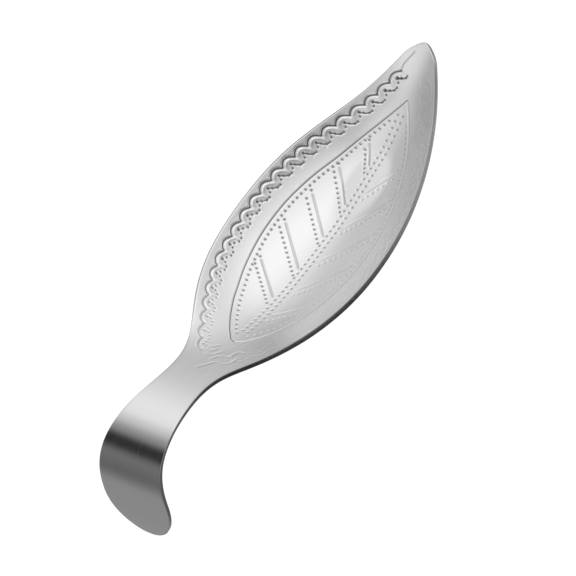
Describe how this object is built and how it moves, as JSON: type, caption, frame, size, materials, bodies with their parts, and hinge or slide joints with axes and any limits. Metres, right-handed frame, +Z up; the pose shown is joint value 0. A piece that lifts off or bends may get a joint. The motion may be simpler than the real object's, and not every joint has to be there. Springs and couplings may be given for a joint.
{
  "type": "leaf spoon rest",
  "caption": "Leaf-shaped metal spoon rest: a shallow pointed dish with a chased leaf pattern, a narrow neck and a handle curled down into a rear foot.",
  "frame": {"origin": "on the ground plane, under the centre of the outline seen from above", "axes": "+Z up off the table, +Y from the curled foot towards the leaf's tip, X across the leaf, which is the same on both sides"},
  "size_m": [0.0726, 0.2412, 0.054],
  "materials": {
    "steel": "satin brushed stainless steel, polished edges"
  },
  "bodies": {
    "root": {"leaf_body": "steel"}
  },
  "joints": []
}
